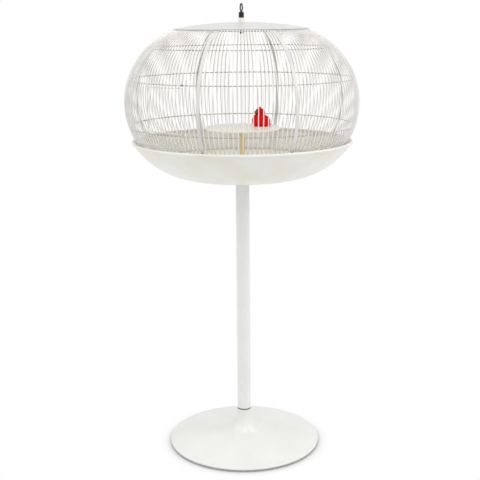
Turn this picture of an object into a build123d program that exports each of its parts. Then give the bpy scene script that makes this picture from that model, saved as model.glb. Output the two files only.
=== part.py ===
from build123d import *
import math
import os

os.makedirs("parts", exist_ok=True)

# A round bird cage that sits in a dished bowl on a floor stand. All sizes are in millimetres and degrees.
# The origin is on the floor under the post, +Z is up and the front of the cage faces -Y.
# Azimuths are turned about +Z from the front, so a positive azimuth lies towards +X.

# Play between pieces
weld_gap = 0.05
seat_gap = 0.1
turning_gap = 0.06
lift_gap = 0.3

# Weighted base
base_radius = 216.0
base_rim_height = 10.0
base_rim_round = 2.0
base_sheet = 2.5
foot_height = 6.0
foot_width = 10.0
foot_round = 1.0
neck_radius = 20.5
neck_height = 97.0
neck_land = 5.0
flare_radius = 70.0
ballast_radius = 150.0
ballast_floor_gap = 6.0
nut_pocket_radius = 14.0
nut_pocket_depth = 10.0

# Post and the rod that ties the stand together
post_radius = 19.05
post_wall = 1.2
post_length = 672.0
seam_height = 4.0
seam_inset = 0.6
spigot_in_neck = 36.0
spigot_in_post = 50.0
head_in_post = 40.0
head_flange = 3.0
bowl_gasket_thickness = 1.8
tie_rod_radius = 4.0
tie_rod_play = 0.3
tie_rod_tail = 3.0
tie_rod_tip = 13.0
tie_nut_width = 13.0
tie_nut_height = 6.5
tie_washer_radius = 10.0
tie_washer_thickness = 1.6
clamp_washer_radius = 18.0
clamp_washer_thickness = 2.0
perch_radius = 7.0
perch_length = 127.5
perch_round = 1.0
platform_radius = 105.0
platform_thickness = 4.0
platform_round = 1.0

# Cage wires: the side of the cage is one arc turned about the axis
cage_radius = 318.2
cage_arc = 202.0
wire_radius = 1.25
ring_wire = 1.3
strap_width = 9.0
strap_thickness = 2.0
strap_count = 8
strap_azimuth = -65.0
wires_per_panel = 19
upper_ring_angle = 46.4
middle_ring_angle = 18.2
bottom_ring_wire = 3.25
bottom_ring_angle = -50.0
wire_overrun = 3.0
stub_overrun = 1.5

# Bowl: a dished floor and a side arc a little outside the cage's own
bowl_sheet = 1.2
bowl_arc_outward = 6.8
bowl_arc_upward = 1.9
bowl_seat_radius = 24.0
bowl_floor_slope = 5.3
bowl_rim_drop = 107.0
bowl_bead = 4.0

# Cap on top of the cage
cap_radius = 182.0
cap_rise = 17.3
cap_sheet = 1.2
cap_lap = 5.0
collar_radius = 8.5
collar_height = 10.7

# Hanging hook and the eye bolt that it turns on
bolt_radius = 2.5
eye_radius = 3.0
eye_wire = 1.7
eye_drop = 25.5
bolt_head_radius = 4.0
bolt_head_height = 3.0
bolt_nut_width = 8.0
bolt_nut_height = 4.0
bolt_washer_radius = 6.0
bolt_washer_thickness = 1.0
ferrule_radius = 7.0
ferrule_wall = 1.4
ferrule_floor = 3.2
ferrule_height = 14.5
plug_height = 4.4
loop_wire = 1.8
loop_leg = 3.2
loop_leg_rise = 2.0
loop_half_width = 7.4
loop_wide_rise = 9.5
loop_crown = 4.6
loop_height = 21.5
loop_bends = [4.5, 5.5, 4.6, 4.6, 5.5, 4.5]
loop_turn = 66.0

# Door in the front left panel
door_first_wire = 6
door_last_wire = 16
rail_drop = 7.0
door_wire_overrun = 1.5
hinge_offset = 3.0
hinge_rod_radius = 1.25
hinge_rod_overrun = 3.0
knuckle_radius = 3.0
knuckle_length = 5.0
rail_inset = 2.1
stile_wire = 1.2

# Turn button that holds the door
latch_plate_size = 7.0
latch_plate_thickness = 0.8
latch_plate_round = 1.5
latch_pin_radius = 1.5
latch_head_radius = 2.7
latch_head_height = 0.9
lever_length = 9.0
lever_width = 4.0
lever_eye = 3.2
lever_thickness = 1.2
lever_play = 0.3

# Toy bird that stands on the platform
bird_x = 51.0
bird_y = 20.0
bird_lean = 7.0
bird_length = 51.5
bird_right = 1.5
bird_girth = 40.0
bird_end_girth = 34.5
bird_foot_drop = 14.5
head_radius = 13.5
head_left = 2.0
head_above = 22.5
head_forward = 3.5
crest_base = 6.3
crest_tip = 2.3
crest_rise = 16.5
beak_turn = 52.0
beak_rise = 12.0
beak_base = 3.3
beak_tip = 0.7
beak_length = 6.5
mask_thickness = 0.5
mask_inner_angle = 17.0
mask_outer_angle = 34.0
tail_length = 27.0
tail_girth = 13.5
tail_end_girth = 8.2
tail_right = 15.5
tail_below = 6.0
tail_fall = 22.0

# The stack of the stand, from the floor up
seam_bottom = neck_height
post_bottom = seam_bottom + seam_height
post_top = post_bottom + post_length
gasket_bottom = post_top + head_flange
bowl_bottom = gasket_bottom + bowl_gasket_thickness
post_bore = post_radius - post_wall
spigot_radius = post_bore - seat_gap
tie_rod_hole = tie_rod_radius + tie_rod_play
clamp_bottom = bowl_bottom + bowl_sheet
clamp_nut_bottom = clamp_bottom + clamp_washer_thickness
perch_bottom = clamp_nut_bottom + tie_nut_height

# Where the wires, straps and rings lie across the thickness of the cage's side
inner_reach = cage_arc - wire_radius
ring_reach = inner_reach - weld_gap - ring_wire
strap_reach = inner_reach + strap_thickness / 2
outer_reach = inner_reach + max(2 * wire_radius, strap_thickness)
bottom_ring_reach = outer_reach + weld_gap + bottom_ring_wire
arc_center_radius = cage_radius - cage_arc - wire_radius

# The bowl's side passes just under the bottom ring, and its floor rises from the post to meet that side
ring_turn = math.radians(bottom_ring_angle)
ring_from_bowl_arc = Vector(
    bottom_ring_reach * math.cos(ring_turn) - bowl_arc_outward,
    bottom_ring_reach * math.sin(ring_turn) - bowl_arc_upward,
)
bowl_arc = ring_from_bowl_arc.length + bottom_ring_wire + lift_gap + bowl_sheet
bowl_arc_radius = arc_center_radius + bowl_arc_outward
floor_turn = math.radians(bowl_floor_slope)
floor_end_radius = bowl_arc_radius + bowl_arc * math.sin(floor_turn)
floor_arc = (floor_end_radius - bowl_seat_radius) / math.sin(floor_turn)
floor_end_height = bowl_bottom + floor_arc * (1 - math.cos(floor_turn))
bowl_arc_height = floor_end_height + bowl_arc * math.cos(floor_turn)
arc_center_height = bowl_arc_height - bowl_arc_upward
bowl_rim_angle = -math.degrees(math.asin((bowl_rim_drop + bowl_arc_upward) / (bowl_arc - bowl_sheet / 2)))

# How far the wires run along the arc, from under the bottom ring to under the cap
overrun_angle = math.degrees(wire_overrun / cage_arc)
stub_angle = math.degrees(stub_overrun / cage_arc)
door_overrun_angle = math.degrees(door_wire_overrun / cage_arc)
wire_start = bottom_ring_angle - overrun_angle
wire_end = math.degrees(math.acos((cap_radius - cap_lap - arc_center_radius) / cage_arc))
top_ring_angle = wire_end - overrun_angle
lower_ring_angle = -middle_ring_angle
panel_angle = 360.0 / strap_count
wire_pitch = panel_angle / (wires_per_panel + 1)

arc_center = (0, -arc_center_radius, arc_center_height)
arc_axis = Axis(arc_center, (-1, 0, 0))


def finish(piece, name):
    """Label a finished piece and write it."""
    piece.part.label = name
    export_step(piece.part, f"parts/{name}.step")


def arc_point(reach, angle):
    """Radius and height of a point at a reach from the arc's centre, at an angle above the widest level."""
    rise = math.radians(angle)
    return arc_center_radius + reach * math.cos(rise), arc_center_height + reach * math.sin(rise)


def around(radius, azimuth, height):
    """Point at a radius and height, turned about the axis from the front."""
    turn = math.radians(azimuth)
    return Vector(radius * math.sin(turn), -radius * math.cos(turn), height)


def meridian(azimuth):
    """Upright plane through the axis: x runs outwards at that azimuth and y runs up."""
    turn = math.radians(azimuth)
    return Plane(
        origin=(0, 0, 0),
        x_dir=(math.sin(turn), -math.cos(turn), 0),
        z_dir=(-math.cos(turn), -math.sin(turn), 0),
    )


def arc_section(angle):
    """Plane across the arc at the front: x runs out from the arc's centre and y runs along the ring."""
    rise = math.radians(angle)
    return Plane(
        origin=arc_center,
        x_dir=(0, -math.cos(rise), math.sin(rise)),
        z_dir=(0, math.sin(rise), math.cos(rise)),
    )


def cage_face(azimuth, angle, reach):
    """Plane that lies on the cage's side: x runs along the ring, y up the wires and z outwards."""
    turn = math.radians(azimuth)
    rise = math.radians(angle)
    radius, height = arc_point(reach, angle)
    return Plane(
        origin=around(radius, azimuth, height),
        x_dir=(math.cos(turn), math.sin(turn), 0),
        z_dir=(math.cos(rise) * math.sin(turn), -math.cos(rise) * math.cos(turn), math.sin(rise)),
    )


def curved_wire(radius, reach, start, end):
    """Round wire bent along the arc at the front, between two angles above the widest level."""
    with BuildPart() as wire:
        with BuildSketch(arc_section(start)):
            with Locations((reach, 0)):
                Circle(radius)
        revolve(axis=arc_axis, revolution_arc=end - start)
    return wire.part


def turned_ring(radius, height, wire):
    """Closed wire ring about the axis."""
    with BuildPart() as ring:
        with BuildSketch(Plane.XZ):
            with Locations((radius, height)):
                Circle(wire)
        revolve(axis=Axis.Z)
    return ring


def washer(outer, inner, bottom, thickness):
    """Flat ring about the axis."""
    with BuildPart() as ring:
        with BuildSketch(Plane.XY.offset(bottom)):
            Circle(outer)
            Circle(inner, mode=Mode.SUBTRACT)
        extrude(amount=thickness)
    return ring


def hex_nut(width, inner, bottom, height):
    """Hexagon nut about the axis."""
    with BuildPart() as nut:
        with BuildSketch(Plane.XY.offset(bottom)):
            RegularPolygon(width / 2, 6, major_radius=False)
            Circle(inner, mode=Mode.SUBTRACT)
        extrude(amount=height)
    return nut


def wire_azimuth(panel, number):
    """Azimuth of a wire counted from the strap that starts its panel."""
    return strap_azimuth + panel * panel_angle + number * wire_pitch


# Base shell: a turned trumpet with a rim turned down at the edge
flare_center = Vector(neck_radius + flare_radius, neck_height - neck_land)
rim_point = Vector(base_radius, base_rim_height)
rim_reach = rim_point - flare_center
rim_bearing = math.degrees(math.atan2(rim_reach.Y, rim_reach.X))
flare_sweep = 180 + rim_bearing - math.degrees(math.acos(flare_radius / rim_reach.length))

with BuildPart() as base_shell:
    with BuildSketch(Plane.XZ):
        with BuildLine():
            Line((neck_radius, neck_height), (neck_radius, neck_height - neck_land))
            flare = CenterArc(flare_center, flare_radius, 180, flare_sweep)
            Line(flare @ 1, rim_point)
            Line(rim_point, (base_radius, foot_height))
            offset(amount=base_sheet, side=Side.RIGHT)
        make_face()
    revolve(axis=Axis.Z)
    rim_edges = base_shell.edges().filter_by(GeomType.CIRCLE).group_by(SortBy.RADIUS)[-1]
    fillet(rim_edges.sort_by(Axis.Z)[-1], base_rim_round)
finish(base_shell, "base_shell")

foot_outer = base_radius - base_sheet - seat_gap
foot_top = base_rim_height - base_sheet - seat_gap
with BuildPart() as foot_ring:
    with BuildSketch(Plane.XZ):
        with Locations((foot_outer - foot_width / 2, foot_top / 2)):
            Rectangle(foot_width, foot_top)
    revolve(axis=Axis.Z)
    foot_edges = foot_ring.edges().filter_by(GeomType.CIRCLE).group_by(Axis.Z)[0]
    fillet(foot_edges, foot_round)
finish(foot_ring, "foot_ring")

# Ballast disc: its sloped top bears on the shell from below
flare_end = Vector(
    flare_center.X + flare_radius * math.cos(math.radians(180 + flare_sweep)),
    flare_center.Y + flare_radius * math.sin(math.radians(180 + flare_sweep)),
)
slope_grade = (flare_end.Y - base_rim_height) / (base_radius - flare_end.X)
sheet_drop = base_sheet * math.hypot(1, slope_grade) + seat_gap
ballast_edge = base_rim_height + (base_radius - ballast_radius) * slope_grade - sheet_drop
ballast_top = flare_end.Y - sheet_drop
ballast_pocket = ballast_floor_gap + nut_pocket_depth
with BuildPart() as base_ballast:
    with BuildSketch(Plane.XZ):
        with BuildLine():
            Polyline(
                (tie_rod_hole, ballast_pocket),
                (nut_pocket_radius, ballast_pocket),
                (nut_pocket_radius, ballast_floor_gap),
                (ballast_radius, ballast_floor_gap),
                (ballast_radius, ballast_edge),
                (flare_end.X, ballast_top),
                (tie_rod_hole, ballast_top),
                close=True,
            )
        make_face()
    revolve(axis=Axis.Z)
finish(base_ballast, "base_ballast")

# Spigot that lines up the neck and the post, and the dark seal in the seam between them
spigot_bottom = neck_height - spigot_in_neck
spigot_length = spigot_in_neck + seam_height + spigot_in_post
base_spigot = washer(spigot_radius, tie_rod_hole, spigot_bottom, spigot_length)
finish(base_spigot, "base_spigot")

seam_seal = washer(post_radius - seam_inset, spigot_radius + seat_gap / 2, seam_bottom, seam_height)
finish(seam_seal, "seam_seal")

post_tube = washer(post_radius, post_bore, post_bottom, post_length)
finish(post_tube, "post_tube")

with BuildPart() as post_head:
    with BuildSketch(Plane.XY.offset(post_top)):
        Circle(post_radius)
    extrude(amount=head_flange)
    with BuildSketch(Plane.XY.offset(post_top)):
        Circle(spigot_radius)
    extrude(amount=-head_in_post)
    with BuildSketch(Plane.XY.offset(post_top + head_flange)):
        Circle(tie_rod_hole)
    extrude(amount=-(head_flange + head_in_post), mode=Mode.SUBTRACT)
finish(post_head, "post_head")

bowl_gasket = washer(post_radius, tie_rod_hole, gasket_bottom, bowl_gasket_thickness)
finish(bowl_gasket, "bowl_gasket")

# Tie rod with a nut under the ballast and a nut in the bowl
tie_washer_bottom = ballast_pocket - tie_washer_thickness
tie_nut_bottom = tie_washer_bottom - tie_nut_height
tie_rod_bottom = tie_nut_bottom - tie_rod_tail
with BuildPart() as tie_rod:
    with BuildSketch(Plane.XY.offset(tie_rod_bottom)):
        Circle(tie_rod_radius)
    extrude(amount=perch_bottom + tie_rod_tip - tie_rod_bottom)
finish(tie_rod, "tie_rod")

tie_rod_washer = washer(tie_washer_radius, tie_rod_hole, tie_washer_bottom, tie_washer_thickness)
finish(tie_rod_washer, "tie_rod_washer")

tie_rod_nut = hex_nut(tie_nut_width, tie_rod_radius + seat_gap / 2, tie_nut_bottom, tie_nut_height)
finish(tie_rod_nut, "tie_rod_nut")

bowl_washer = washer(clamp_washer_radius, tie_rod_hole, clamp_bottom, clamp_washer_thickness)
finish(bowl_washer, "bowl_washer")

bowl_nut = hex_nut(tie_nut_width, tie_rod_radius + seat_gap / 2, clamp_nut_bottom, tie_nut_height)
finish(bowl_nut, "bowl_nut")

# Wooden perch post screwed on the end of the tie rod
with BuildPart() as perch_post:
    with BuildSketch(Plane.XY.offset(perch_bottom)):
        Circle(perch_radius)
    extrude(amount=perch_length)
    fillet(perch_post.edges().group_by(Axis.Z)[-1], perch_round)
    with BuildSketch(Plane.XY.offset(perch_bottom)):
        Circle(tie_rod_radius + seat_gap)
    extrude(amount=tie_rod_tip + seat_gap, mode=Mode.SUBTRACT)
finish(perch_post, "perch_post")

# Round feeding platform glued on the perch post
with BuildPart() as perch_platform:
    with BuildSketch(Plane.XY.offset(perch_bottom + perch_length + weld_gap)):
        Circle(platform_radius)
    extrude(amount=platform_thickness)
    fillet(perch_platform.edges(), platform_round)
finish(perch_platform, "perch_platform")

# Bowl of sheet metal with a rolled bead at the rim
with BuildPart() as bowl:
    with BuildSketch(Plane.XZ):
        with BuildLine():
            Line((tie_rod_hole, bowl_bottom), (bowl_seat_radius, bowl_bottom))
            CenterArc((bowl_seat_radius, bowl_bottom + floor_arc), floor_arc, -90, bowl_floor_slope)
            CenterArc(
                (bowl_arc_radius, bowl_arc_height),
                bowl_arc,
                bowl_floor_slope - 90,
                90 - bowl_floor_slope + bowl_rim_angle,
            )
            offset(amount=bowl_sheet, side=Side.LEFT)
        make_face()
        rim_turn = math.radians(bowl_rim_angle)
        bead_reach = bowl_arc - bowl_sheet / 2
        bead_place = (
            bowl_arc_radius + bead_reach * math.cos(rim_turn),
            bowl_arc_height + bead_reach * math.sin(rim_turn),
        )
        with Locations(bead_place):
            Circle(bowl_bead)
    revolve(axis=Axis.Z)
finish(bowl, "bowl")

# Rings of the cage: four on the inside of the wires and a thick one outside their lower ends
for ring_name, ring_angle in (
    ("top_ring", top_ring_angle),
    ("upper_ring", upper_ring_angle),
    ("middle_ring", middle_ring_angle),
    ("lower_ring", lower_ring_angle),
):
    ring_radius, ring_height = arc_point(ring_reach, ring_angle)
    finish(turned_ring(ring_radius, ring_height, ring_wire), ring_name)

bottom_radius, bottom_height = arc_point(bottom_ring_reach, bottom_ring_angle)
finish(turned_ring(bottom_radius, bottom_height, bottom_ring_wire), "bottom_ring")

# Flat straps between the panels of wires
with BuildPart() as front_strap:
    with BuildSketch(arc_section(wire_start)):
        with Locations((strap_reach, 0)):
            Rectangle(strap_thickness, strap_width)
    revolve(axis=arc_axis, revolution_arc=wire_end - wire_start)

for strap_number in range(strap_count):
    with BuildPart() as strap:
        with Locations(Location((0, 0, 0), (0, 0, wire_azimuth(strap_number, 0)))):
            add(front_strap.part)
    finish(strap, f"strap_{strap_number + 1}")

# Panels of fine wires; the first one has the doorway, where the wires stop at the rings
full_wire = curved_wire(wire_radius, cage_arc, wire_start, wire_end)
upper_stub = curved_wire(wire_radius, cage_arc, middle_ring_angle - stub_angle, wire_end)
lower_stub = curved_wire(wire_radius, cage_arc, wire_start, lower_ring_angle + stub_angle)
doorway_wires = door_last_wire - door_first_wire + 1

with BuildPart() as door_panel:
    with PolarLocations(0, door_first_wire - 1, wire_azimuth(0, 1), (door_first_wire - 1) * wire_pitch):
        add(full_wire)
    after_door = wires_per_panel - door_last_wire
    with PolarLocations(0, after_door, wire_azimuth(0, door_last_wire + 1), after_door * wire_pitch):
        add(full_wire)
    with PolarLocations(0, doorway_wires, wire_azimuth(0, door_first_wire), doorway_wires * wire_pitch):
        add(upper_stub)
        add(lower_stub)
finish(door_panel, "wire_panel_door")

panel_sides = ["front", "front_right", "right", "back_right", "back", "back_left", "left"]
for panel_number, panel_side in enumerate(panel_sides, start=1):
    with BuildPart() as wire_panel:
        first_azimuth = wire_azimuth(panel_number, 1)
        with PolarLocations(0, wires_per_panel, first_azimuth, wires_per_panel * wire_pitch):
            add(full_wire)
    finish(wire_panel, f"wire_panel_{panel_side}")

# Domed cap over the ends of the wires
cap_rest_radius, wire_end_height = arc_point(outer_reach, wire_end)
dome_radius = (cap_radius**2 + cap_rise**2) / (2 * cap_rise)
dome_center = wire_end_height + weld_gap - math.sqrt(dome_radius**2 - cap_rest_radius**2)
dome_spread = math.degrees(math.asin(cap_radius / dome_radius))
cap_under = dome_center + dome_radius
cap_top = cap_under + cap_sheet
with BuildPart() as cap:
    with BuildSketch(Plane.XZ):
        with BuildLine():
            under = CenterArc((0, dome_center), dome_radius, 90 - dome_spread, dome_spread)
            over = CenterArc((0, dome_center), dome_radius + cap_sheet, 90 - dome_spread, dome_spread)
            Line(under @ 0, over @ 0)
            Line(under @ 1, over @ 1)
        make_face()
    revolve(axis=Axis.Z)
    with BuildSketch(Plane.XY.offset(cap_top)):
        Circle(bolt_radius + seat_gap)
    extrude(amount=-cap_rise, mode=Mode.SUBTRACT)
finish(cap, "cap")

collar_bottom = cap_top + weld_gap
cap_collar = washer(collar_radius, bolt_radius + seat_gap, collar_bottom, collar_height)
finish(cap_collar, "cap_collar")

# Eye bolt through the cap: the eye hangs below and the head turns inside the hook's ferrule
ferrule_bottom = collar_bottom + collar_height + lift_gap
bolt_head_bottom = ferrule_bottom + ferrule_floor + lift_gap
eye_height = cap_under - eye_drop
with BuildPart() as eye_bolt:
    with Locations(Location((0, 0, eye_height), (90, 0, 0))):
        Torus(eye_radius, eye_wire)
    with BuildSketch(Plane.XY.offset(eye_height + eye_radius)):
        Circle(bolt_radius)
    extrude(amount=bolt_head_bottom - eye_height - eye_radius)
    with BuildSketch(Plane.XY.offset(bolt_head_bottom)):
        Circle(bolt_head_radius)
    extrude(amount=bolt_head_height)
finish(eye_bolt, "eye_bolt")

bolt_washer_bottom = cap_under - weld_gap - bolt_washer_thickness
cap_washer = washer(bolt_washer_radius, bolt_radius + seat_gap, bolt_washer_bottom, bolt_washer_thickness)
finish(cap_washer, "cap_washer")

cap_nut_bottom = bolt_washer_bottom - bolt_nut_height
cap_nut = hex_nut(bolt_nut_width, bolt_radius + seat_gap / 2, cap_nut_bottom, bolt_nut_height)
finish(cap_nut, "cap_nut")

# Hook: a cup that turns on the bolt, a plug pressed into it and a bent wire loop
ferrule_top = ferrule_bottom + ferrule_height
cup_radius = ferrule_radius - ferrule_wall
with BuildPart() as hook_ferrule:
    with BuildSketch(Plane.XY.offset(ferrule_bottom)):
        Circle(ferrule_radius)
    extrude(amount=ferrule_height)
    with BuildSketch(Plane.XY.offset(ferrule_bottom + ferrule_floor)):
        Circle(cup_radius)
    extrude(amount=ferrule_height - ferrule_floor, mode=Mode.SUBTRACT)
    with BuildSketch(Plane.XY.offset(ferrule_bottom)):
        Circle(bolt_radius + turning_gap)
    extrude(amount=ferrule_floor, mode=Mode.SUBTRACT)
finish(hook_ferrule, "hook_ferrule")

plug_bottom = ferrule_top - plug_height
leg_bottom = plug_bottom + weld_gap
with BuildPart() as hook_plug:
    with BuildSketch(Plane.XY.offset(plug_bottom)):
        Circle(cup_radius - weld_gap)
        with PolarLocations(loop_leg, 2, loop_turn):
            Circle(loop_wire + weld_gap, mode=Mode.SUBTRACT)
    extrude(amount=plug_height)
finish(hook_plug, "hook_plug")

with BuildPart() as hook_loop:
    with BuildLine(meridian(90 + loop_turn)) as loop_path:
        FilletPolyline(
            (-loop_leg, leg_bottom),
            (-loop_leg, ferrule_top + loop_leg_rise),
            (-loop_half_width, ferrule_top + loop_wide_rise),
            (-loop_crown, ferrule_top + loop_height),
            (loop_crown, ferrule_top + loop_height),
            (loop_half_width, ferrule_top + loop_wide_rise),
            (loop_leg, ferrule_top + loop_leg_rise),
            (loop_leg, leg_bottom),
            radius=loop_bends,
        )
    with BuildSketch(Plane(origin=loop_path.line @ 0, z_dir=loop_path.line % 0)):
        Circle(loop_wire)
    sweep()
finish(hook_loop, "hook_loop")

# Door: a straight hinge rod on the outside of two rings, and a frame that turns on it
ring_hold_radius, middle_height = arc_point(ring_reach, middle_ring_angle)
lower_height = arc_point(ring_reach, lower_ring_angle)[1]
hinge_radius = ring_hold_radius + ring_wire + weld_gap + hinge_rod_radius
hinge_azimuth = wire_azimuth(0, door_first_wire) + math.degrees(hinge_offset / hinge_radius)
hinge_place = around(hinge_radius, hinge_azimuth, 0)
rod_bottom = lower_height - hinge_rod_overrun
rod_length = middle_height - lower_height + 2 * hinge_rod_overrun
with BuildPart() as door_hinge_rod:
    with BuildSketch(Plane.XY.offset(rod_bottom)):
        with Locations(hinge_place):
            Circle(hinge_rod_radius)
    extrude(amount=rod_length)
finish(door_hinge_rod, "door_hinge_rod")

rail_angle = middle_ring_angle - math.degrees(rail_drop / ring_reach)
rail_radius = arc_point(ring_reach, rail_angle)[0]
rail_start = hinge_azimuth + math.degrees(rail_inset / rail_radius)
hinge_stile_azimuth = wire_azimuth(0, door_first_wire + 1)
latch_stile_azimuth = wire_azimuth(0, door_last_wire)
stile = curved_wire(stile_wire, ring_reach, -rail_angle, rail_angle)
with BuildPart() as door_frame:
    for rail_side in (-rail_angle, rail_angle):
        rail_height = arc_point(ring_reach, rail_side)[1]
        with BuildSketch(meridian(rail_start)):
            with Locations((rail_radius, rail_height)):
                Circle(ring_wire)
        revolve(axis=Axis.Z, revolution_arc=latch_stile_azimuth - rail_start)
        with Locations(around(rail_radius, latch_stile_azimuth, rail_height)):
            Sphere(ring_wire)
        with BuildSketch(Plane.XY.offset(rail_height - knuckle_length / 2)):
            with Locations(hinge_place):
                Circle(knuckle_radius)
        extrude(amount=knuckle_length)
    for stile_azimuth in (hinge_stile_azimuth, latch_stile_azimuth):
        with Locations(Location((0, 0, 0), (0, 0, stile_azimuth))):
            add(stile)
    with BuildSketch(Plane.XY.offset(rod_bottom)):
        with Locations(hinge_place):
            Circle(hinge_rod_radius + turning_gap)
    extrude(amount=rod_length, mode=Mode.SUBTRACT)
finish(door_frame, "door_frame")

door_wire_end = rail_angle + door_overrun_angle
door_wire = curved_wire(wire_radius, cage_arc, -door_wire_end, door_wire_end)
door_wire_count = doorway_wires - 3
with BuildPart() as door_wires:
    first_azimuth = wire_azimuth(0, door_first_wire + 2)
    with PolarLocations(0, door_wire_count, first_azimuth, door_wire_count * wire_pitch):
        add(door_wire)
finish(door_wires, "door_wires")

# Turn button on the wire above the door's free corner
plate_reach = outer_reach + weld_gap
latch_reach = plate_reach + latch_plate_thickness + lever_play
lever_top = latch_reach + lever_thickness
plate_face = cage_face(latch_stile_azimuth, middle_ring_angle, plate_reach)
with BuildPart() as latch_plate:
    with BuildSketch(plate_face):
        RectangleRounded(latch_plate_size, latch_plate_size, latch_plate_round)
        Circle(latch_pin_radius + seat_gap / 2, mode=Mode.SUBTRACT)
    extrude(amount=latch_plate_thickness)
finish(latch_plate, "latch_plate")

pin_length = lever_top + lever_play - plate_reach
with BuildPart() as latch_pin:
    with BuildSketch(plate_face):
        Circle(latch_pin_radius)
    extrude(amount=pin_length)
    with BuildSketch(plate_face.offset(pin_length)):
        Circle(latch_head_radius)
    extrude(amount=latch_head_height)
finish(latch_pin, "latch_pin")

with BuildPart() as latch_lever:
    with BuildSketch(plate_face.offset(latch_reach - plate_reach)):
        Circle(lever_eye)
        with Locations((-lever_length / 2, 0)):
            Rectangle(lever_length, lever_width)
        with Locations((-lever_length, 0)):
            Circle(lever_width / 2)
        Circle(latch_pin_radius + turning_gap, mode=Mode.SUBTRACT)
    extrude(amount=lever_thickness)
finish(latch_lever, "latch_lever")

# Toy bird: a plump body with a flat foot, seen from the front
bird_floor = perch_bottom + perch_length + weld_gap + platform_thickness + lift_gap
bird_middle = Plane(origin=(bird_x, bird_y, bird_floor + bird_foot_drop), x_dir=(1, 0, 0), z_dir=(0, -1, 0))


def bird_plane(right, up, forward, turn_right, turn_up):
    """Plane at a place on the bird, with its normal turned right and up from the front."""
    side = math.radians(turn_right)
    rise = math.radians(turn_up)
    x, z = bird_middle.x_dir, bird_middle.z_dir
    up_dir = Vector(0, 0, 1)
    facing = (x * math.sin(side) + z * math.cos(side)) * math.cos(rise) + up_dir * math.sin(rise)
    across = x * math.cos(side) - z * math.sin(side)
    place = bird_middle.origin + x * right + up_dir * up + z * forward
    return Plane(origin=place, x_dir=across, z_dir=facing)


def egg(length, girth, end_girth):
    """Round body about the x axis of the plane that it is built on, thinner at its far end."""
    near, far = girth / 2, end_girth / 2
    near_place, far_place = near - length / 2, length / 2 - far
    lean = math.asin((near - far) / (far_place - near_place))
    rise, run = math.cos(lean), math.sin(lean)
    lean_angle = math.degrees(lean)
    with BuildPart() as body:
        with BuildSketch():
            with BuildLine():
                CenterArc((near_place, 0), near, 90 - lean_angle, 90 + lean_angle)
                Line((near_place + near * run, near * rise), (far_place + far * run, far * rise))
                CenterArc((far_place, 0), far, 0, 90 - lean_angle)
                Line((-length / 2, 0), (length / 2, 0))
            make_face()
        revolve(axis=Axis.X)
    return body.part


def body_plane(right, up, fall):
    """Plane in the middle of the bird's depth whose x axis falls to the right."""
    slope = math.radians(fall)
    x = bird_middle.x_dir
    return Plane(
        origin=bird_middle.origin + x * right + Vector(0, 0, up),
        x_dir=x * math.cos(slope) - Vector(0, 0, math.sin(slope)),
        z_dir=bird_middle.z_dir,
    )


head_place = bird_plane(-head_left, head_above, head_forward, -beak_turn, beak_rise)
crest_plane = bird_plane(-head_left, head_above, head_forward, 0, 90)
body_shape = egg(bird_length, bird_girth, bird_end_girth)
tail_shape = egg(tail_length, tail_girth, tail_end_girth)
with BuildPart() as toy_bird_body:
    with Locations(body_plane(bird_right, 0, bird_lean)):
        add(body_shape)
    with Locations(head_place):
        Sphere(head_radius)
    with Locations(body_plane(tail_right, -tail_below, tail_fall)):
        add(tail_shape)
    with Locations(crest_plane):
        Cone(crest_base, crest_tip, crest_rise, align=(Align.CENTER, Align.CENTER, Align.MIN))
    split(bisect_by=Plane.XY.offset(bird_floor), keep=Keep.TOP)
finish(toy_bird_body, "toy_bird_body")

# Beak and the dark mask round it, both about the way that the bird faces
with BuildPart() as toy_bird_beak:
    with BuildSketch(head_place.offset(head_radius + weld_gap)):
        Circle(beak_base)
    extrude(amount=beak_length, taper=math.degrees(math.atan((beak_base - beak_tip) / beak_length)))
finish(toy_bird_beak, "toy_bird_beak")

mask_radius = head_radius + weld_gap
with BuildPart() as mask_shape:
    with BuildSketch(Plane.XZ):
        with BuildLine():
            mask_arc = mask_outer_angle - mask_inner_angle
            near = CenterArc((0, 0), mask_radius, 90 - mask_outer_angle, mask_arc)
            far = CenterArc((0, 0), mask_radius + mask_thickness, 90 - mask_outer_angle, mask_arc)
            Line(near @ 0, far @ 0)
            Line(near @ 1, far @ 1)
        make_face()
    revolve(axis=Axis.Z)

with BuildPart() as toy_bird_mask:
    with Locations(head_place):
        add(mask_shape.part)
finish(toy_bird_mask, "toy_bird_mask")
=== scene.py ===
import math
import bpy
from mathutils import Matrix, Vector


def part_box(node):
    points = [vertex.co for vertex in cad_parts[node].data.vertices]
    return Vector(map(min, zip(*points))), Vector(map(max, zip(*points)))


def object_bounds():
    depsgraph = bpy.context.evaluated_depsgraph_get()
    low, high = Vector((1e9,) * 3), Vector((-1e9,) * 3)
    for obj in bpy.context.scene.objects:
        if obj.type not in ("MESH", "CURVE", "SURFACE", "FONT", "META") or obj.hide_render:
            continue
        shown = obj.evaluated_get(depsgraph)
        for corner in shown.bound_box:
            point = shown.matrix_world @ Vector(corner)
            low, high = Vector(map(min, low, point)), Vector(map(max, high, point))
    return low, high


bl_info = {
    "name": "Bird Cage on Stand",
    "version": (1, 0, 0),
    "blender": (4, 5, 0),
    "location": "View3D > Sidebar > Bird Cage",
    "description": "Dresses a wire bird cage on a floor stand and sets it in a plain white studio",
    "category": "Object",
}

import bmesh
import bpy
from mathutils import Matrix, Vector

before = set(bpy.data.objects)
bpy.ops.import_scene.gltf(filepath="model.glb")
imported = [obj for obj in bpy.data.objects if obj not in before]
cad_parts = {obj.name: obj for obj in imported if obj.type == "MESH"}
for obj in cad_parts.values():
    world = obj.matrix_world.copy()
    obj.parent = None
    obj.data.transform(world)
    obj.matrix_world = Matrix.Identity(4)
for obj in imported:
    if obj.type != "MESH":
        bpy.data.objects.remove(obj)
CAD_LOW, CAD_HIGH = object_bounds()

MM = 0.001

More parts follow.
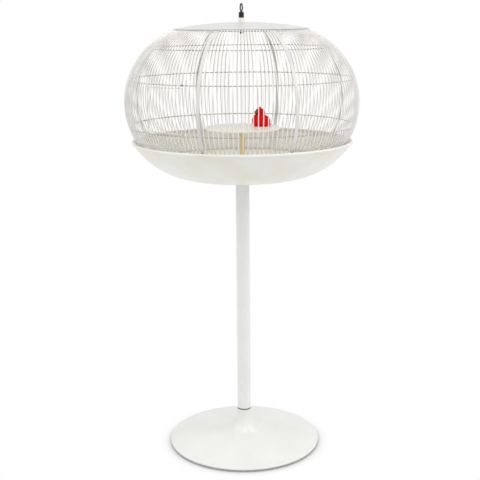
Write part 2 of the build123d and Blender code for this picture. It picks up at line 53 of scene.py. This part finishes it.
# The photograph's side in pixels, and the width of a full-frame sensor in millimetres.
PHOTO_SIDE = 480
SENSOR_WIDTH = 36.0

# Height of the rolled bead at the bowl's rim, and how far a face tilts while outside turns to inside.
RIM_BEAD = 8.0 * MM
FACING_BLEND = 0.1

# The stage: floor, reach of the soft shadow round the base, and soft lamps, in metres.
WHITE = (1.0, 1.0, 1.0, 1.0)
FLOOR_COLOUR = "#f4f4f4"
CONTACT_REACH = 35.0 * MM
SIDE_LAMP_SIZE = 2.5
FRONT_LAMP_SIZE = 3.0
LEFT_LAMP_PLACE = (-3.2, -0.9, 3.0)
RIGHT_LAMP_PLACE = (3.2, -0.9, 3.0)
FRONT_LAMP_PLACE = (0.4, -2.4, 4.8)

# The eight wire panels, with a strap between each two.
SIDE_PANELS = ("door", "front", "front_right", "right", "back_right", "back", "back_left", "left")
STRAP_COUNT = len(SIDE_PANELS)


# Colours and nodes


def linear(hex_colour):
    """Turn an sRGB hex colour into a linear RGBA value."""
    channels = [int(hex_colour[i : i + 2], 16) / 255.0 for i in (1, 3, 5)]
    return tuple(c / 12.92 if c <= 0.04045 else ((c + 0.055) / 1.055) ** 2.4 for c in channels) + (1.0,)


def add_node(tree, kind, inputs=None, links=None, **settings):
    """Add a node, set its properties and input values, and link other nodes' outputs to its inputs."""
    node = tree.nodes.new(kind)
    for name, value in settings.items():
        setattr(node, name, value)
    for name, value in (inputs or {}).items():
        node.inputs[name].default_value = value
    for name, socket in (links or {}).items():
        tree.links.new(socket, node.inputs[name])
    return node


def start_material(name, colour, roughness, metallic=0.0):
    """Make a material with one Principled shader and return it with its tree and shader."""
    material = bpy.data.materials.new(name)
    material.use_nodes = True
    tree = material.node_tree
    tree.nodes.clear()
    shader = add_node(
        tree,
        "ShaderNodeBsdfPrincipled",
        {"Base Color": linear(colour), "Roughness": roughness, "Metallic": metallic},
    )
    add_node(tree, "ShaderNodeOutputMaterial", links={"Surface": shader.outputs["BSDF"]})
    return material, tree, shader


def noise(tree, size_mm, detail=2.0, roughness=0.5, stretch=(1.0, 1.0, 1.0)):
    """Noise on Object coordinates whose lumps are about size_mm across, stretched along an axis."""
    place = add_node(tree, "ShaderNodeTexCoord")
    mapping = add_node(tree, "ShaderNodeMapping", {"Scale": stretch}, {"Vector": place.outputs["Object"]})
    return add_node(
        tree,
        "ShaderNodeTexNoise",
        {"Scale": 1.0 / (size_mm * MM), "Detail": detail, "Roughness": roughness},
        {"Vector": mapping.outputs["Vector"]},
    )


def colour_between(tree, factor, low, high, start=0.35, end=0.65):
    """Ramp from one hex colour to another as the factor goes from start to end."""
    ramp = add_node(tree, "ShaderNodeValToRGB", links={"Fac": factor})
    ramp.color_ramp.elements[0].position = start
    ramp.color_ramp.elements[0].color = linear(low)
    ramp.color_ramp.elements[1].position = end
    ramp.color_ramp.elements[1].color = linear(high)
    return ramp.outputs["Color"]


def bump_from(tree, shader, height, depth_mm, strength=1.0):
    """Give a shader a bump whose full height is depth_mm."""
    bump = add_node(
        tree, "ShaderNodeBump", {"Distance": depth_mm * MM, "Strength": strength}, {"Height": height}
    )
    tree.links.new(bump.outputs["Normal"], shader.inputs["Normal"])


# Materials


def gloss_enamel(name, clean, aged_and_shaded_patch, roughness, patch_mm):
    """Sprayed white gloss enamel on sheet steel."""
    # A hard white coat with slightly soft reflections; age has left it a little cream in wide patches, and
    # on the straps and cap the darker coat and its patches are painted shade; the spray has left a fine
    # orange peel.
    material, tree, shader = start_material(name, clean, roughness)
    patches = noise(tree, patch_mm, detail=3.0)
    tree.links.new(colour_between(tree, patches.outputs["Fac"], clean, aged_and_shaded_patch), shader.inputs["Base Color"])
    peel = noise(tree, size_mm=3.0)
    bump_from(tree, shader, peel.outputs["Fac"], depth_mm=0.05, strength=0.35)
    return material


def bowl_enamel(look):
    """White gloss enamel on the bowl, painted lighter and creamier inside as painted light."""
    # The outside and the rolled rim are a clean cool white with a little age; the inside, whose faces look
    # up, is painted a lighter, warmer white as painted light, and seed and water have stained it in soft
    # patches.
    material = gloss_enamel(
        "aged_bowl_enamel", look.bowl_outside, look.bowl_aged, roughness=0.3, patch_mm=70.0
    )
    tree = material.node_tree
    shader = next(node for node in tree.nodes if node.type == "BSDF_PRINCIPLED")
    outside = shader.inputs["Base Color"].links[0].from_socket
    # Painted light: the upward-facing inside gets a lighter colour than the outside, standing in for light
    # falling there.
    stains = noise(tree, size_mm=45.0, detail=3.0)
    inside = colour_between(tree, stains.outputs["Fac"], look.bowl_inside_lit, look.bowl_inside_lit_stains)
    facing = add_node(tree, "ShaderNodeNewGeometry")
    parts = add_node(tree, "ShaderNodeSeparateXYZ", links={"Vector": facing.outputs["Normal"]})
    looks_up = add_node(
        tree,
        "ShaderNodeMapRange",
        {"From Min": -FACING_BLEND, "From Max": FACING_BLEND},
        {"Value": parts.outputs["Z"]},
    )
    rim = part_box("bowl")[1][2]
    place = add_node(tree, "ShaderNodeTexCoord")
    height = add_node(tree, "ShaderNodeSeparateXYZ", links={"Vector": place.outputs["Object"]})
    below_rim = add_node(
        tree,
        "ShaderNodeMapRange",
        {"From Min": rim - RIM_BEAD, "From Max": rim - 2 * RIM_BEAD},
        {"Value": height.outputs["Z"]},
    )
    in_bowl = add_node(
        tree,
        "ShaderNodeMath",
        links={0: looks_up.outputs["Result"], 1: below_rim.outputs["Result"]},
        operation="MULTIPLY",
    )
    both = add_node(
        tree, "ShaderNodeMix", links={0: in_bowl.outputs[0], 6: outside, 7: inside}, data_type="RGBA"
    )
    tree.links.new(both.outputs[2], shader.inputs["Base Color"])
    return material


def wire_enamel(name, fresh, worn_and_shaded):
    """Dipped enamel on steel wire."""
    # Thinner and duller than the sheet's coat, with long soft runs that grey where the steel shows through;
    # on the cross rings the whole grey and its runs are painted shade.
    material, tree, shader = start_material(name, fresh, roughness=0.38)
    runs = noise(tree, size_mm=60.0, stretch=(1.0, 1.0, 0.4))
    tint = colour_between(tree, runs.outputs["Fac"], fresh, worn_and_shaded, start=0.4, end=0.75)
    tree.links.new(tint, shader.inputs["Base Color"])
    return material


def bronzed_brass(look):
    """Brass with a dark bronze patina."""
    # A dark brown oxide skin that dulls the metal; its worn high spots show a warmer brown.
    material, tree, shader = start_material(
        "dark_bronzed_brass", look.bronze_dark, roughness=0.5, metallic=0.35
    )
    wear = noise(tree, size_mm=2.5, detail=3.0)
    tint = colour_between(
        tree, wear.outputs["Fac"], look.bronze_dark, look.bronze_worn, start=0.5, end=0.8
    )
    tree.links.new(tint, shader.inputs["Base Color"])
    return material


def blackened_steel(look):
    """Steel with a black oxide finish."""
    # Near-black oxide with a faint dull sheen, a little browner where it has aged.
    material, tree, shader = start_material(
        "blackened_steel", look.black_steel, roughness=0.55, metallic=0.3
    )
    rust = noise(tree, size_mm=2.0, detail=3.0)
    tint = colour_between(
        tree, rust.outputs["Fac"], look.black_steel, look.bronze_dark, start=0.55, end=0.85
    )
    tree.links.new(tint, shader.inputs["Base Color"])
    return material


def zinc_plated_steel(look):
    """Turned steel with a zinc plating."""
    # A pale grey metal with slightly blurred reflections and faint cloudy spangle.
    material, tree, shader = start_material("zinc_plated_steel", look.zinc, roughness=0.35, metallic=1.0)
    spangle = noise(tree, size_mm=4.0)
    tint = colour_between(tree, spangle.outputs["Fac"], look.zinc, look.zinc_dull)
    tree.links.new(tint, shader.inputs["Base Color"])
    return material


def black_rubber(look):
    """Moulded black rubber."""
    # Matt and nearly black, with a faint dusty bloom.
    material, tree, shader = start_material("moulded_black_rubber", look.rubber, roughness=0.75)
    dust = noise(tree, size_mm=12.0, detail=4.0)
    tint = colour_between(tree, dust.outputs["Fac"], look.rubber, look.rubber_dusty, start=0.45, end=0.8)
    tree.links.new(tint, shader.inputs["Base Color"])
    return material


def grey_rubber(name, colour, speck):
    """Grey rubber of the foot ring and of the seal in the seam, whose greys partly stand in for painted
    shade under the base's rim and in the seam.
    """
    # Matt grey with darker specks.
    material, tree, shader = start_material(name, colour, roughness=0.8)
    dust = noise(tree, size_mm=5.0, detail=4.0)
    tint = colour_between(tree, dust.outputs["Fac"], speck, colour, start=0.25, end=0.5)
    tree.links.new(tint, shader.inputs["Base Color"])
    return material


def cast_iron(look):
    """Sand-cast grey iron."""
    # Dark grey and rough, with the grain of the sand mould.
    material, tree, shader = start_material("sand_cast_iron", look.iron, roughness=0.7, metallic=0.6)
    grain = noise(tree, size_mm=1.5, detail=3.0)
    tree.links.new(
        colour_between(tree, grain.outputs["Fac"], look.iron, look.iron_light), shader.inputs["Base Color"]
    )
    bump_from(tree, shader, grain.outputs["Fac"], depth_mm=0.3, strength=0.6)
    return material


def platform_enamel(look):
    """White enamel on the feeding platform."""
    # A plain, slightly dull white, a little cream where birds have sat.
    return gloss_enamel(
        "platform_enamel", look.platform_white, look.platform_aged, roughness=0.45, patch_mm=30.0
    )


def birch_dowel(look):
    """Sanded bare birch, turned as a dowel."""
    # Pale yellow wood with long fine grain along the post.
    material, tree, shader = start_material("sanded_birch_dowel", look.wood_pale, roughness=0.6)
    grain = noise(tree, size_mm=2.2, detail=4.0, roughness=0.6, stretch=(1.0, 1.0, 0.06))
    tree.links.new(
        colour_between(tree, grain.outputs["Fac"], look.wood_dark, look.wood_pale, start=0.3, end=0.6),
        shader.inputs["Base Color"],
    )
    bump_from(tree, shader, grain.outputs["Fac"], depth_mm=0.08, strength=0.5)
    return material


def red_flock(look):
    """Red nylon flock on a moulded toy."""
    # A saturated red with hardly any gloss, broken up by fine tufts.
    material, tree, shader = start_material("red_flock", look.bird_red, roughness=0.85)
    shader.inputs["Specular IOR Level"].default_value = 0.15
    tufts = noise(tree, size_mm=1.6)
    tree.links.new(
        colour_between(tree, tufts.outputs["Fac"], look.bird_red_deep, look.bird_red, start=0.3, end=0.6),
        shader.inputs["Base Color"],
    )
    bump_from(tree, shader, tufts.outputs["Fac"], depth_mm=0.3, strength=0.5)
    return material


def black_paint(look):
    """Brushed black toy paint."""
    # A flat, matt black.
    return start_material("black_toy_paint", look.bird_black, roughness=0.7)[0]


def beak_paint(look):
    """Painted orange-red beak."""
    # A smooth, slightly glossy orange red.
    return start_material("orange_beak_paint", look.bird_beak, roughness=0.35)[0]


# Dressing


def dress(material, *nodes):
    """Give CAD nodes a material in their own slots."""
    for name in nodes:
        for material_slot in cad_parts[name].material_slots:
            material_slot.material = material


# Stage


def seen_directly(tree):
    """One for camera, glossy and transmission rays, nought for the rest."""
    path = add_node(tree, "ShaderNodeLightPath")
    seen = add_node(
        tree,
        "ShaderNodeMath",
        links={0: path.outputs["Is Camera Ray"], 1: path.outputs["Is Glossy Ray"]},
        operation="MAXIMUM",
    )
    seen = add_node(
        tree,
        "ShaderNodeMath",
        links={0: seen.outputs[0], 1: path.outputs["Is Transmission Ray"]},
        operation="MAXIMUM",
    )
    return seen.outputs[0]


def lay_floor(studio):
    """A pale floor that looks white to the eye, with a soft shadow where the base meets it."""
    mesh = bmesh.new()
    bmesh.ops.create_grid(mesh, x_segments=1, y_segments=1, size=studio.floor_size / 2)
    data = bpy.data.meshes.new("floor")
    mesh.to_mesh(data)
    mesh.free()
    floor = bpy.data.objects.new("floor", data)
    bpy.context.scene.collection.objects.link(floor)
    material = bpy.data.materials.new("pale_studio_floor")
    material.use_nodes = True
    tree = material.node_tree
    tree.nodes.clear()
    matt = add_node(tree, "ShaderNodeBsdfDiffuse", {"Color": linear(FLOOR_COLOUR)})
    contact = add_node(tree, "ShaderNodeAmbientOcclusion", {"Distance": CONTACT_REACH})
    white = add_node(tree, "ShaderNodeEmission", {"Strength": 1.0}, {"Color": contact.outputs["Color"]})
    path = seen_directly(tree)
    mix = add_node(
        tree, "ShaderNodeMixShader", links={"Fac": path, 1: matt.outputs[0], 2: white.outputs[0]}
    )
    add_node(tree, "ShaderNodeOutputMaterial", links={"Surface": mix.outputs[0]})
    data.materials.append(material)


def light_sky(studio):
    """An even white surround: plain white to the eye and softer as light."""
    world = bpy.data.worlds.new("white_surround")
    world.use_nodes = True
    tree = world.node_tree
    tree.nodes.clear()
    light = add_node(tree, "ShaderNodeBackground", {"Color": WHITE, "Strength": studio.sky_strength})
    white = add_node(tree, "ShaderNodeBackground", {"Color": WHITE, "Strength": 1.0})
    path = seen_directly(tree)
    mix = add_node(
        tree, "ShaderNodeMixShader", links={"Fac": path, 1: light.outputs[0], 2: white.outputs[0]}
    )
    add_node(tree, "ShaderNodeOutputWorld", links={"Surface": mix.outputs[0]})
    bpy.context.scene.world = world


def add_lamp(name, place, size, power):
    """A soft square lamp aimed at half the object's height."""
    data = bpy.data.lights.new(name, "AREA")
    data.size = size
    data.energy = power
    lamp = bpy.data.objects.new(name, data)
    lamp.location = place
    target = Vector((0.0, 0.0, (CAD_LOW.z + CAD_HIGH.z) / 2))
    lamp.rotation_euler = (target - Vector(place)).to_track_quat("-Z", "Y").to_euler()
    bpy.context.scene.collection.objects.link(lamp)


def place_camera(studio):
    """The photograph's camera: a long lens at cage height that looks a little down."""
    data = bpy.data.cameras.new("camera")
    data.sensor_width = SENSOR_WIDTH
    data.lens = SENSOR_WIDTH * studio.focal_pixels / PHOTO_SIDE
    camera = bpy.data.objects.new("camera", data)
    tilt = Matrix.Rotation(math.radians(90) - studio.camera_pitch, 4, "X")
    roll = Matrix.Rotation(studio.camera_roll, 4, "Z")
    camera.matrix_world = Matrix.Translation(studio.camera_place) @ tilt @ roll
    bpy.context.scene.collection.objects.link(camera)
    bpy.context.scene.camera = camera


# Settings


def colour_property(name, description, default):
    """A hex colour that a user can change."""
    return bpy.props.StringProperty(name=name, description=description, default=default, maxlen=7)


class BirdCageLook(bpy.types.PropertyGroup):
    """Colours of the cage's materials, as sRGB hex values."""

    enamel_white: colour_property("Enamel", "Clean gloss enamel on sheet metal", "#e7e7e5")
    enamel_aged: colour_property("Aged enamel", "Enamel that has turned a little cream", "#e3e3df")
    bowl_outside: colour_property("Bowl outside", "Clean enamel on the outside of the bowl", "#e7e7e4")
    bowl_aged: colour_property("Aged bowl", "Outside of the bowl where it has turned cream", "#e3e0d3")
    # Painted light: the bowl's inside colours are lighter than its outside, standing in for light; the
    # stains are patches on top.
    bowl_inside_lit: colour_property("Bowl inside", "Enamel inside the bowl", "#fdfbf2")
    bowl_inside_lit_stains: colour_property("Stained bowl", "Inside of the bowl where seed has stained it", "#f8f3e5")
    platform_white: colour_property("Platform", "Enamel on the feeding platform", "#fbfaf4")
    platform_aged: colour_property("Aged platform", "Platform where it has turned cream", "#f4f1e6")
    wire_white: colour_property("Wire enamel", "Dipped enamel on the wires", "#ebe9e7")
    wire_worn: colour_property("Worn wire", "Wire enamel where the steel shows through", "#dcd9d4")
    # Painted shade: the cross rings are painted grey, darker in runs, standing in for the shade on their
    # back halves.
    ring_shade_grey: colour_property("Ring wire", "Greyed coat on the cross rings", "#bdbab7")
    ring_shade_runs: colour_property("Worn ring wire", "Cross rings where the coat has gone", "#98938c")
    # Painted shade: the straps' and cap's enamels are painted greyer than the other enamel, darker still in
    # patches.
    strap_shaded_white: colour_property("Strap enamel", "Enamel on the straps", "#dadad7")
    strap_shaded_patches: colour_property("Aged strap", "Enamel on the straps where it has dulled", "#d1d0cb")
    cap_shaded_white: colour_property("Cap enamel", "Enamel on the domed cap", "#d2d2d0")
    cap_shaded_patches: colour_property("Aged cap", "Enamel on the cap where dust has dulled it", "#c6c6c2")
    collar_cream: colour_property("Collar enamel", "Cream enamel on the collar of the cap", "#f6f0e0")
    bronze_dark: colour_property("Dark bronze", "Patina of the hook", "#1c120b")
    bronze_worn: colour_property("Worn bronze", "Hook where the patina has worn off", "#3f2a17")
    black_steel: colour_property("Black steel", "Oxide finish of the eye bolt", "#0d0b09")
    zinc: colour_property("Zinc", "Plating of the latch and fixings", "#b9bbbd")
    zinc_dull: colour_property("Dull zinc", "Plating that has dulled", "#97999b")
    rubber: colour_property("Rubber", "Gasket under the bowl", "#161616")
    rubber_dusty: colour_property("Dusty rubber", "Rubber with a bloom of dust", "#2c2b29")
    # Painted shade, partly: the foot ring's and the seal's greys stand in for the shade line under the
    # base's rim and the shadow in the seam.
    foot_ring_and_shade_grey: colour_property("Foot ring", "Grey rubber under the base", "#b2b0aa")
    seam_seal_and_shade_grey: colour_property("Seam seal", "Weathered seal between the neck and the post", "#77756f")
    iron: colour_property("Cast iron", "Ballast", "#2b2b2b")
    iron_light: colour_property("Cast iron grain", "High spots of the ballast", "#454443")
    wood_pale: colour_property("Pale wood", "Perch post", "#ecdca8")
    wood_dark: colour_property("Wood grain", "Grain of the perch post", "#d9c07e")
    bird_red: colour_property("Bird red", "Flock of the toy bird", "#f2060d")
    bird_red_deep: colour_property("Deep bird red", "Shade between the tufts", "#dc050b")
    bird_black: colour_property("Bird mask", "Mask of the toy bird", "#0c0808")
    bird_beak: colour_property("Bird beak", "Beak of the toy bird", "#c8381c")


class BirdCageStudio(bpy.types.PropertyGroup):
    """Camera and lights."""

    camera_place: bpy.props.FloatVectorProperty(
        name="Camera place",
        description="Where the camera stands",
        default=(-0.0084, -2.589, 1.2113),
        subtype="TRANSLATION",
    )
    camera_pitch: bpy.props.FloatProperty(
        name="Camera pitch",
        description="How far the camera looks down",
        default=math.radians(13.24),
        subtype="ANGLE",
    )
    camera_roll: bpy.props.FloatProperty(
        name="Camera roll",
        description="How far the camera is rolled",
        default=math.radians(-0.47),
        subtype="ANGLE",
    )
    focal_pixels: bpy.props.FloatProperty(
        name="Focal length", description="Focal length in pixels of the photograph", default=945.45
    )
    floor_size: bpy.props.FloatProperty(
        name="Floor size", description="Side of the floor", default=60.0, unit="LENGTH"
    )
    sky_strength: bpy.props.FloatProperty(name="Sky", description="Light from all round", default=0.68)
    left_power: bpy.props.FloatProperty(
        name="Left light", description="Power of the left light", default=34.0, unit="POWER"
    )
    right_power: bpy.props.FloatProperty(
        name="Right light", description="Power of the right light", default=46.0, unit="POWER"
    )
    front_power: bpy.props.FloatProperty(
        name="Front light", description="Power of the light above the camera", default=64.0, unit="POWER"
    )


# Operators


class BIRDCAGE_OT_dress_stand(bpy.types.Operator):
    """Enamel the base and post, and finish the fixings of the stand"""

    bl_idname = "birdcage.dress_stand"
    bl_label = "Dress Stand"

    def execute(self, context):
        look = context.scene.bird_cage_look
        enamel = gloss_enamel(
            "white_gloss_enamel", look.enamel_white, look.enamel_aged, roughness=0.24, patch_mm=90.0
        )
        dress(enamel, "base_shell", "post_tube", "post_head")
        dress(black_rubber(look), "bowl_gasket")
        # Painted shade, partly: these greys also stand in for the shade line under the base and the shadow
        # in the seam.
        dress(grey_rubber("pale_grey_rubber_and_shade_line", look.foot_ring_and_shade_grey, look.seam_seal_and_shade_grey), "foot_ring")
        dress(grey_rubber("grey_rubber_and_seam_shade", look.seam_seal_and_shade_grey, look.rubber_dusty), "seam_seal")
        dress(cast_iron(look), "base_ballast")
        fixings = ("base_spigot", "tie_rod", "tie_rod_washer", "tie_rod_nut", "bowl_washer", "bowl_nut")
        dress(zinc_plated_steel(look), *fixings)
        return {"FINISHED"}


class BIRDCAGE_OT_dress_bowl(bpy.types.Operator):
    """Enamel the bowl and its feeding platform, and finish the wooden perch post"""

    bl_idname = "birdcage.dress_bowl"
    bl_label = "Dress Bowl"

    def execute(self, context):
        look = context.scene.bird_cage_look
        dress(bowl_enamel(look), "bowl")
        dress(platform_enamel(look), "perch_platform")
        dress(birch_dowel(look), "perch_post")
        return {"FINISHED"}


class BIRDCAGE_OT_dress_cage(bpy.types.Operator):
    """Enamel the straps, cap, wires, rings and door"""

    bl_idname = "birdcage.dress_cage"
    bl_label = "Dress Cage"

    def execute(self, context):
        look = context.scene.bird_cage_look
        # Painted shade: the straps' greyer enamel stands in for the shade on them.
        sheet = gloss_enamel(
            "shaded_strap_enamel", look.strap_shaded_white, look.strap_shaded_patches, roughness=0.3, patch_mm=50.0
        )
        straps = [f"strap_{number + 1}" for number in range(STRAP_COUNT)]
        dress(sheet, *straps)
        collar = gloss_enamel(
            "cream_collar_enamel", look.collar_cream, look.enamel_white, roughness=0.3, patch_mm=6.0
        )
        dress(collar, "cap_collar")
        # Painted shade: the cap's darker enamel and its patches stand in for shade on the cap, not dust.
        cap = gloss_enamel("shaded_cap_enamel", look.cap_shaded_white, look.cap_shaded_patches, roughness=0.4, patch_mm=25.0)
        dress(cap, "cap")
        panels = [f"wire_panel_{side}" for side in SIDE_PANELS]
        fine_wire = wire_enamel("dipped_white_wire_enamel", look.wire_white, look.wire_worn)
        dress(fine_wire, "door_frame", "door_wires", "door_hinge_rod", "bottom_ring", *panels)
        # Painted shade: the rings' grey and its darker runs stand in for shade, not a worn coat.
        shaded_ring_wire = wire_enamel("shaded_ring_enamel", look.ring_shade_grey, look.ring_shade_runs)
        dress(shaded_ring_wire, "top_ring", "upper_ring", "middle_ring", "lower_ring")
        return {"FINISHED"}


class BIRDCAGE_OT_dress_metalwork(bpy.types.Operator):
    """Finish the hook, eye bolt and latch"""

    bl_idname = "birdcage.dress_metalwork"
    bl_label = "Dress Hook and Latch"

    def execute(self, context):
        look = context.scene.bird_cage_look
        dress(bronzed_brass(look), "hook_ferrule", "hook_plug", "hook_loop")
        dress(blackened_steel(look), "eye_bolt")
        dress(zinc_plated_steel(look), "latch_plate", "latch_pin", "latch_lever", "cap_washer", "cap_nut")
        return {"FINISHED"}


class BIRDCAGE_OT_dress_bird(bpy.types.Operator):
    """Finish the toy bird"""

    bl_idname = "birdcage.dress_bird"
    bl_label = "Dress Toy Bird"

    def execute(self, context):
        look = context.scene.bird_cage_look
        dress(red_flock(look), "toy_bird_body")
        dress(black_paint(look), "toy_bird_mask")
        dress(beak_paint(look), "toy_bird_beak")
        return {"FINISHED"}


class BIRDCAGE_OT_set_stage(bpy.types.Operator):
    """Lay a white floor, set soft lights and place the camera where the photograph was taken"""

    bl_idname = "birdcage.set_stage"
    bl_label = "Set Stage"

    def execute(self, context):
        studio = context.scene.bird_cage_studio
        lay_floor(studio)
        light_sky(studio)
        add_lamp("left_light", LEFT_LAMP_PLACE, SIDE_LAMP_SIZE, studio.left_power)
        add_lamp("right_light", RIGHT_LAMP_PLACE, SIDE_LAMP_SIZE, studio.right_power)
        add_lamp("front_light", FRONT_LAMP_PLACE, FRONT_LAMP_SIZE, studio.front_power)
        place_camera(studio)
        context.scene.view_settings.view_transform = "Standard"
        return {"FINISHED"}


class BIRDCAGE_PT_panel(bpy.types.Panel):
    """Lists the steps that build the scene"""

    bl_idname = "BIRDCAGE_PT_panel"
    bl_label = "Bird Cage"
    bl_space_type = "VIEW_3D"
    bl_region_type = "UI"
    bl_category = "Bird Cage"

    def draw(self, context):
        for operator in OPERATORS:
            self.layout.operator(operator.bl_idname)


OPERATORS = (
    BIRDCAGE_OT_dress_stand,
    BIRDCAGE_OT_dress_bowl,
    BIRDCAGE_OT_dress_cage,
    BIRDCAGE_OT_dress_metalwork,
    BIRDCAGE_OT_dress_bird,
    BIRDCAGE_OT_set_stage,
)
CLASSES = (BirdCageLook, BirdCageStudio, *OPERATORS, BIRDCAGE_PT_panel)


def register():
    for cls in CLASSES:
        bpy.utils.register_class(cls)
    bpy.types.Scene.bird_cage_look = bpy.props.PointerProperty(type=BirdCageLook)
    bpy.types.Scene.bird_cage_studio = bpy.props.PointerProperty(type=BirdCageStudio)


def unregister():
    del bpy.types.Scene.bird_cage_studio
    del bpy.types.Scene.bird_cage_look
    for cls in reversed(CLASSES):
        bpy.utils.unregister_class(cls)


def main():
    register()
    bpy.ops.birdcage.dress_stand()
    bpy.ops.birdcage.dress_bowl()
    bpy.ops.birdcage.dress_cage()
    bpy.ops.birdcage.dress_metalwork()
    bpy.ops.birdcage.dress_bird()
    bpy.ops.birdcage.set_stage()


if __name__ == "__main__":
    main()
